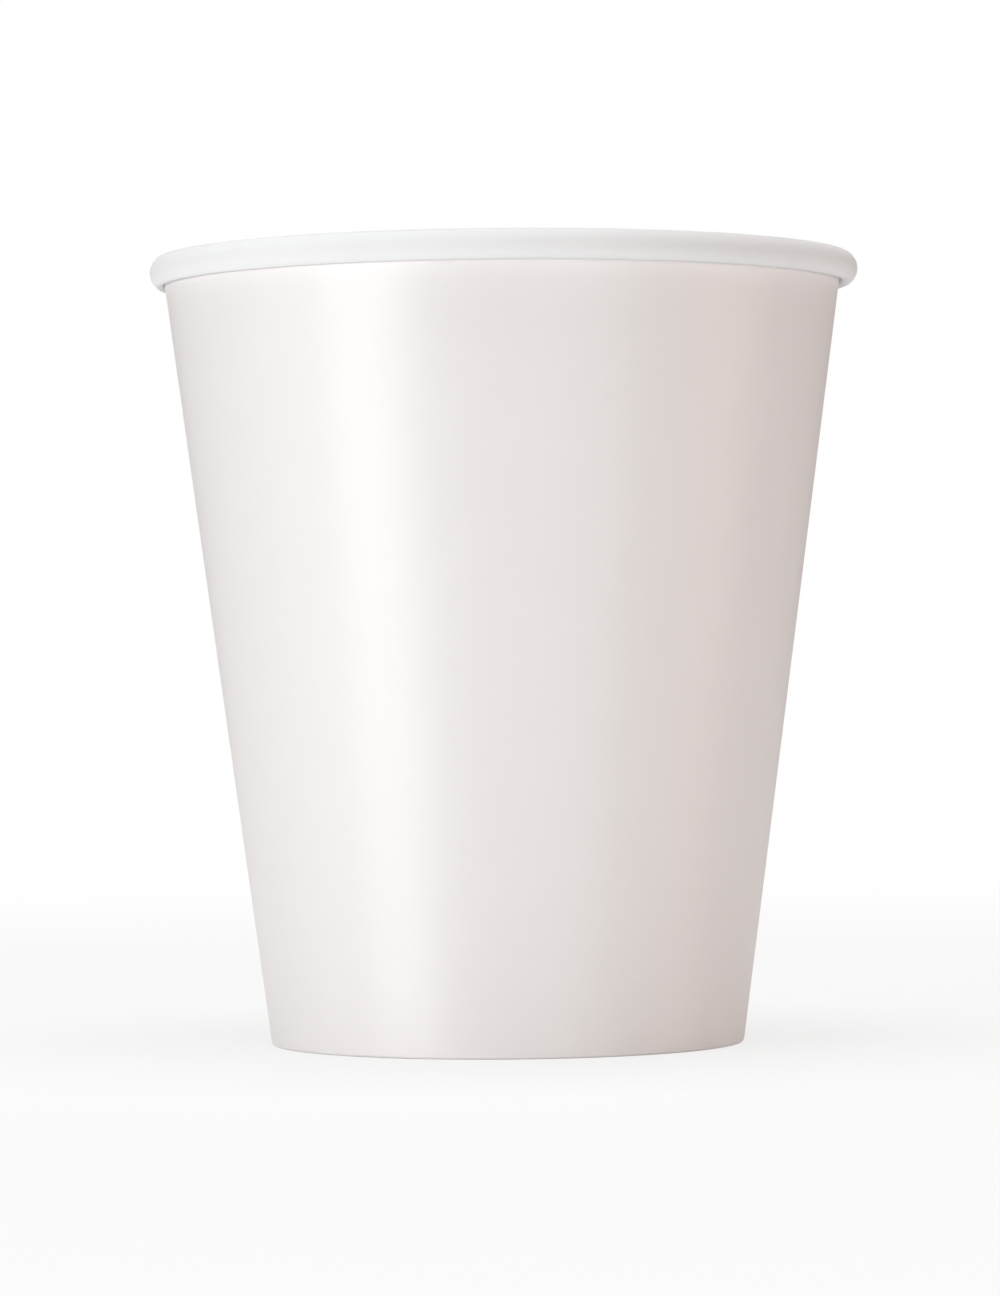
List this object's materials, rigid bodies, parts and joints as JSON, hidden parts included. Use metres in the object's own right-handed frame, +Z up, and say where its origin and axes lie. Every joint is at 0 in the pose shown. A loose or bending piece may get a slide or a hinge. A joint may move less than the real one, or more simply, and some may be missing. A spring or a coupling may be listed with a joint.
{
  "type": "paper cup",
  "caption": "Tapered single-wall paper cup with a rolled rim, a lapped side seam and a recessed bottom disc held in a folded hem.",
  "frame": {"origin": "centre of the base, on the table plane", "axes": "+Z up along the cup's axis; the side seam is at the back, on +Y; +X is to the right in the picture"},
  "size_m": [0.0793, 0.0792, 0.088],
  "materials": {
    "printed_board": "satin white cup board",
    "plain_board": "plain white cup board with a thin polyethylene lining"
  },
  "bodies": {
    "root": {"sidewall": "printed_board", "bottom_disc": "plain_board"}
  },
  "joints": []
}
